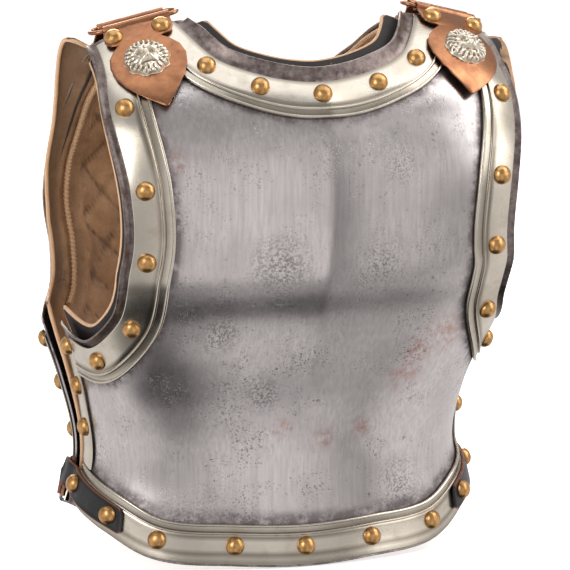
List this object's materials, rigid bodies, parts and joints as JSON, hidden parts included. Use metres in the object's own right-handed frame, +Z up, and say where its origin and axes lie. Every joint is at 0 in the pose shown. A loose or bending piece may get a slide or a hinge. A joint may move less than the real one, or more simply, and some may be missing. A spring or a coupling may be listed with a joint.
{
  "type": "cuirass",
  "caption": "Polished steel breastplate and backplate with riveted nickel silver borders, copper shoulder plaques with lion masks, and leather waist straps.",
  "frame": {"origin": "middle of the bottom of the bounding box, on the surface that the cuirass stands on", "axes": "+Z up, the breast faces -Y, the wearer's left is +X"},
  "size_m": [0.3772, 0.285, 0.4556],
  "materials": {
    "steel": "polished and brushed, with age pitting and stains",
    "nickel_silver": "polished, warm grey",
    "brass": "polished",
    "copper": "satin copper with patina",
    "silver": "satin, warm silver",
    "iron": "dull",
    "lining_leather": "quilted tan inside, black towards the steel, with rolled tan edges",
    "black_leather": "smooth, with a tooled line",
    "brown_leather": "smooth"
  },
  "bodies": {
    "root": {"breast_shell": "steel", "breast_neck_band": "nickel_silver", "breast_arm_band_left": "nickel_silver", "breast_arm_band_right": "nickel_silver", "breast_side_strip_left": "nickel_silver", "breast_side_strip_right": "nickel_silver", "breast_waist_band": "nickel_silver", "breast_lining": "lining_leather", "back_shell": "steel", "back_neck_band": "nickel_silver", "back_arm_band_left": "nickel_silver", "back_arm_band_right": "nickel_silver", "back_side_strip_left": "nickel_silver", "back_side_strip_right": "nickel_silver", "back_waist_band": "nickel_silver", "back_lining": "lining_leather", "rivet_neck_centre": "brass", "rivet_neck_inner_left": "brass", "rivet_neck_inner_right": "brass", "rivet_neck_outer_left": "brass", "rivet_neck_outer_right": "brass", "rivet_arm_1_left": "brass", "rivet_arm_1_right": "brass", "rivet_arm_2_left": "brass", "rivet_arm_2_right": "brass", "rivet_arm_3_left": "brass", "rivet_arm_3_right": "brass", "rivet_arm_4_left": "brass", "rivet_arm_4_right": "brass", "rivet_arm_5_left": "brass", "rivet_arm_5_right": "brass", "rivet_waist_centre": "brass", "rivet_waist_1_left": "brass", "rivet_waist_1_right": "brass", "rivet_waist_2_left": "brass", "rivet_waist_2_right": "brass", "rivet_waist_3_left": "brass", "rivet_waist_3_right": "brass", "rivet_waist_4_left": "brass", "rivet_waist_4_right": "brass", "rivet_ear_inner_left": "brass", "rivet_ear_inner_right": "brass", "rivet_ear_outer_left": "brass", "rivet_ear_outer_right": "brass", "shoulder_plaque_left": "copper", "shoulder_plaque_right": "copper", "lion_mask_left": "silver", "lion_mask_right": "silver", "back_plaque_left": "copper", "back_plaque_right": "copper", "shoulder_link_left": "copper", "shoulder_link_right": "copper", "waist_tab_left": "black_leather", "waist_tab_right": "black_leather", "waist_buckle_left": "iron", "waist_buckle_right": "iron", "back_strap_left": "brown_leather", "back_strap_right": "brown_leather"}
  },
  "joints": []
}
